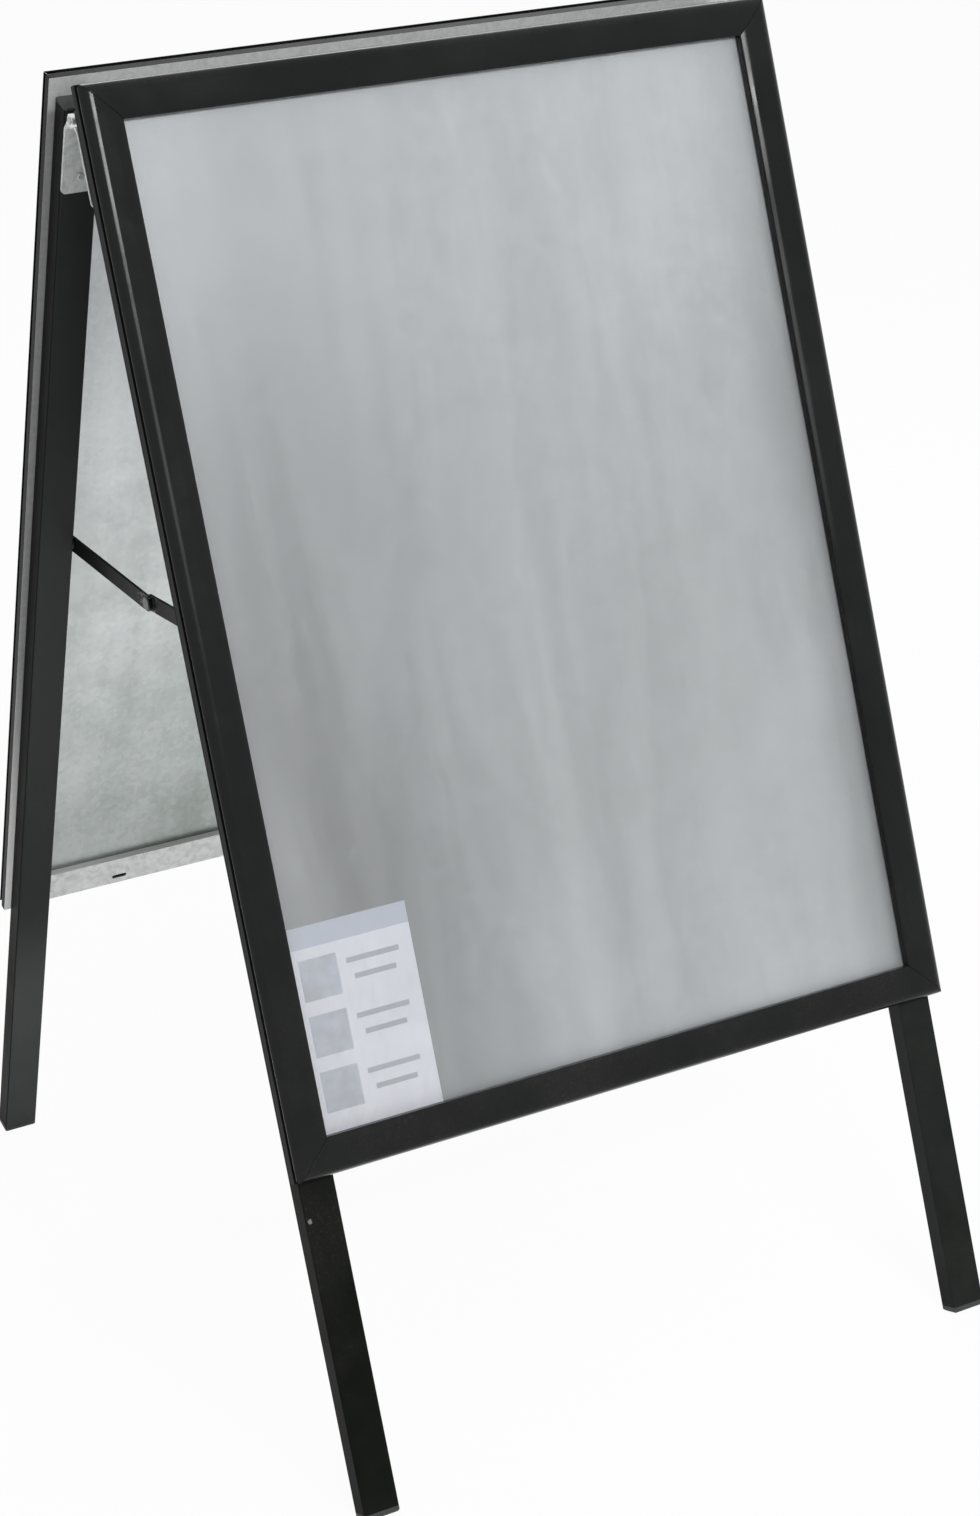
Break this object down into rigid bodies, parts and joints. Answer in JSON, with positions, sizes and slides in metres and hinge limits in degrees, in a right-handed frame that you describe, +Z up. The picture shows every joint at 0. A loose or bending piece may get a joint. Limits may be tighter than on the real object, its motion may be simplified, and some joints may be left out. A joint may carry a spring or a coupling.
{
  "type": "pavement poster stand",
  "caption": "Folding A-shaped pavement poster stand: two snap frames on tube legs, hinged at the top and held open by folding stays.",
  "frame": {"origin": "on the ground under the middle of the hinge line, stand open", "axes": "+X to the right along the hinge line, +Y to the rear panel, +Z up"},
  "size_m": [0.638, 0.8062, 1.1172],
  "materials": {
    "cover_coat": "black satin coat on extruded aluminium",
    "base_rail_metal": "mill finish behind, black coat on the outer walls",
    "leg_paint": "black satin paint on steel tube",
    "plug_plastic": "black moulded plastic",
    "hinge_zinc": "zinc plated",
    "rivet_steel": "bright steel rivets",
    "stay_paint": "black paint on flat steel bar",
    "key_steel": "zinc plated pressed steel",
    "spring_steel": "bent spring strip",
    "back_sheet_zinc": "galvanised sheet",
    "clear_plastic": "clear anti-glare poster cover",
    "leaflet_card": "plain laminated card"
  },
  "bodies": {
    "rear_panel": {"rear_leg_left": "leg_paint", "rear_leg_right": "leg_paint", "rear_foot_left": "plug_plastic", "rear_foot_right": "plug_plastic", "rear_leg_cap_left": "plug_plastic", "rear_leg_cap_right": "plug_plastic", "rear_base_bottom": "base_rail_metal", "rear_base_right": "base_rail_metal", "rear_base_top": "base_rail_metal", "rear_base_left": "base_rail_metal", "rear_corner_keys": "key_steel", "rear_cover_springs": "spring_steel", "rear_back_sheet": "back_sheet_zinc", "rear_clear_sheet": "clear_plastic", "rear_frame_rivets": "rivet_steel", "rear_hinge_rivets": "rivet_steel", "rear_stay_rivets": "rivet_steel", "hinge_left_rear_leaf": "hinge_zinc", "hinge_right_rear_leaf": "hinge_zinc", "hinge_left_pin": "hinge_zinc", "hinge_right_pin": "hinge_zinc"},
    "front_panel": {"front_leg_left": "leg_paint", "front_leg_right": "leg_paint", "front_foot_left": "plug_plastic", "front_foot_right": "plug_plastic", "front_leg_cap_left": "plug_plastic", "front_leg_cap_right": "plug_plastic", "front_base_bottom": "base_rail_metal", "front_base_right": "base_rail_metal", "front_base_top": "base_rail_metal", "front_base_left": "base_rail_metal", "front_corner_keys": "key_steel", "front_cover_springs": "spring_steel", "front_back_sheet": "back_sheet_zinc", "front_clear_sheet": "clear_plastic", "front_frame_rivets": "rivet_steel", "front_hinge_rivets": "rivet_steel", "front_stay_rivets": "rivet_steel", "hinge_left_front_leaf": "hinge_zinc", "hinge_right_front_leaf": "hinge_zinc", "front_leaflet": "leaflet_card"},
    "front_bottom_cover": {"front_cover_bottom": "cover_coat"},
    "front_right_cover": {"front_cover_right": "cover_coat"},
    "front_top_cover": {"front_cover_top": "cover_coat"},
    "front_left_cover": {"front_cover_left": "cover_coat"},
    "rear_bottom_cover": {"rear_cover_bottom": "cover_coat"},
    "rear_right_cover": {"rear_cover_right": "cover_coat"},
    "rear_top_cover": {"rear_cover_top": "cover_coat"},
    "rear_left_cover": {"rear_cover_left": "cover_coat"},
    "left_front_stay": {"stay_left_front_link": "stay_paint", "stay_left_front_knuckle": "rivet_steel"},
    "left_rear_stay": {"stay_left_rear_link": "stay_paint", "stay_left_rear_knuckle": "rivet_steel"},
    "right_front_stay": {"stay_right_front_link": "stay_paint", "stay_right_front_knuckle": "rivet_steel"},
    "right_rear_stay": {"stay_right_rear_link": "stay_paint", "stay_right_rear_knuckle": "rivet_steel"}
  },
  "joints": [
    {"name": "fold", "type": "hinge", "parent": "rear_panel", "child": "front_panel", "pos_m": [0, 0, 1.08285], "axis": [1, 0, 0], "range_deg": [0, 38]},
    {"name": "front_bottom_cover_swing", "type": "hinge", "parent": "front_panel", "child": "front_bottom_cover", "pos_m": [0, -0.31883, 0.28329], "axis": [1, 0, 0], "range_deg": [0, 95], "stiffness_Nm_per_rad": 0.2, "springref_deg": -34.38},
    {"name": "front_right_cover_swing", "type": "hinge", "parent": "front_panel", "child": "front_right_cover", "pos_m": [0.3158, -0.17581, 0.69866], "axis": [0, 0.3256, 0.9455], "range_deg": [0, 95], "stiffness_Nm_per_rad": 0.2, "springref_deg": -34.38},
    {"name": "front_top_cover_swing", "type": "hinge", "parent": "front_panel", "child": "front_top_cover", "pos_m": [0, -0.03279, 1.11403], "axis": [-1, 0, 0], "range_deg": [0, 95], "stiffness_Nm_per_rad": 0.2, "springref_deg": -34.38},
    {"name": "front_left_cover_swing", "type": "hinge", "parent": "front_panel", "child": "front_left_cover", "pos_m": [-0.3158, -0.17581, 0.69866], "axis": [0, -0.3256, -0.9455], "range_deg": [0, 95], "stiffness_Nm_per_rad": 0.2, "springref_deg": -34.38},
    {"name": "rear_bottom_cover_swing", "type": "hinge", "parent": "rear_panel", "child": "rear_bottom_cover", "pos_m": [0, 0.31883, 0.28329], "axis": [-1, 0, 0], "range_deg": [0, 95], "stiffness_Nm_per_rad": 0.2, "springref_deg": -34.38},
    {"name": "rear_right_cover_swing", "type": "hinge", "parent": "rear_panel", "child": "rear_right_cover", "pos_m": [0.3158, 0.17581, 0.69866], "axis": [0, 0.3256, -0.9455], "range_deg": [0, 95], "stiffness_Nm_per_rad": 0.2, "springref_deg": -34.38},
    {"name": "rear_top_cover_swing", "type": "hinge", "parent": "rear_panel", "child": "rear_top_cover", "pos_m": [0, 0.03279, 1.11403], "axis": [1, 0, 0], "range_deg": [0, 95], "stiffness_Nm_per_rad": 0.2, "springref_deg": -34.38},
    {"name": "rear_left_cover_swing", "type": "hinge", "parent": "rear_panel", "child": "rear_left_cover", "pos_m": [-0.3158, 0.17581, 0.69866], "axis": [0, -0.3256, 0.9455], "range_deg": [0, 95], "stiffness_Nm_per_rad": 0.2, "springref_deg": -34.38},
    {"name": "left_front_stay_turn", "type": "hinge", "parent": "front_panel", "child": "left_front_stay", "pos_m": [0, -0.1605, 0.68017], "axis": [1, 0, 0], "range_deg": [0, 66.5]},
    {"name": "left_rear_stay_turn", "type": "hinge", "parent": "rear_panel", "child": "left_rear_stay", "pos_m": [0, 0.1605, 0.68017], "axis": [1, 0, 0], "range_deg": [-66.5, 0]},
    {"name": "right_front_stay_turn", "type": "hinge", "parent": "front_panel", "child": "right_front_stay", "pos_m": [0, -0.1605, 0.68017], "axis": [1, 0, 0], "range_deg": [0, 66.5]},
    {"name": "right_rear_stay_turn", "type": "hinge", "parent": "rear_panel", "child": "right_rear_stay", "pos_m": [0, 0.1605, 0.68017], "axis": [1, 0, 0], "range_deg": [-66.5, 0]}
  ],
  "couplings": [
    {"joint": "left_front_stay_turn", "follows": "fold", "ratio": 1.7492},
    {"joint": "left_rear_stay_turn", "follows": "fold", "ratio": -1.7492},
    {"joint": "right_front_stay_turn", "follows": "fold", "ratio": 1.7492},
    {"joint": "right_rear_stay_turn", "follows": "fold", "ratio": -1.7492}
  ]
}
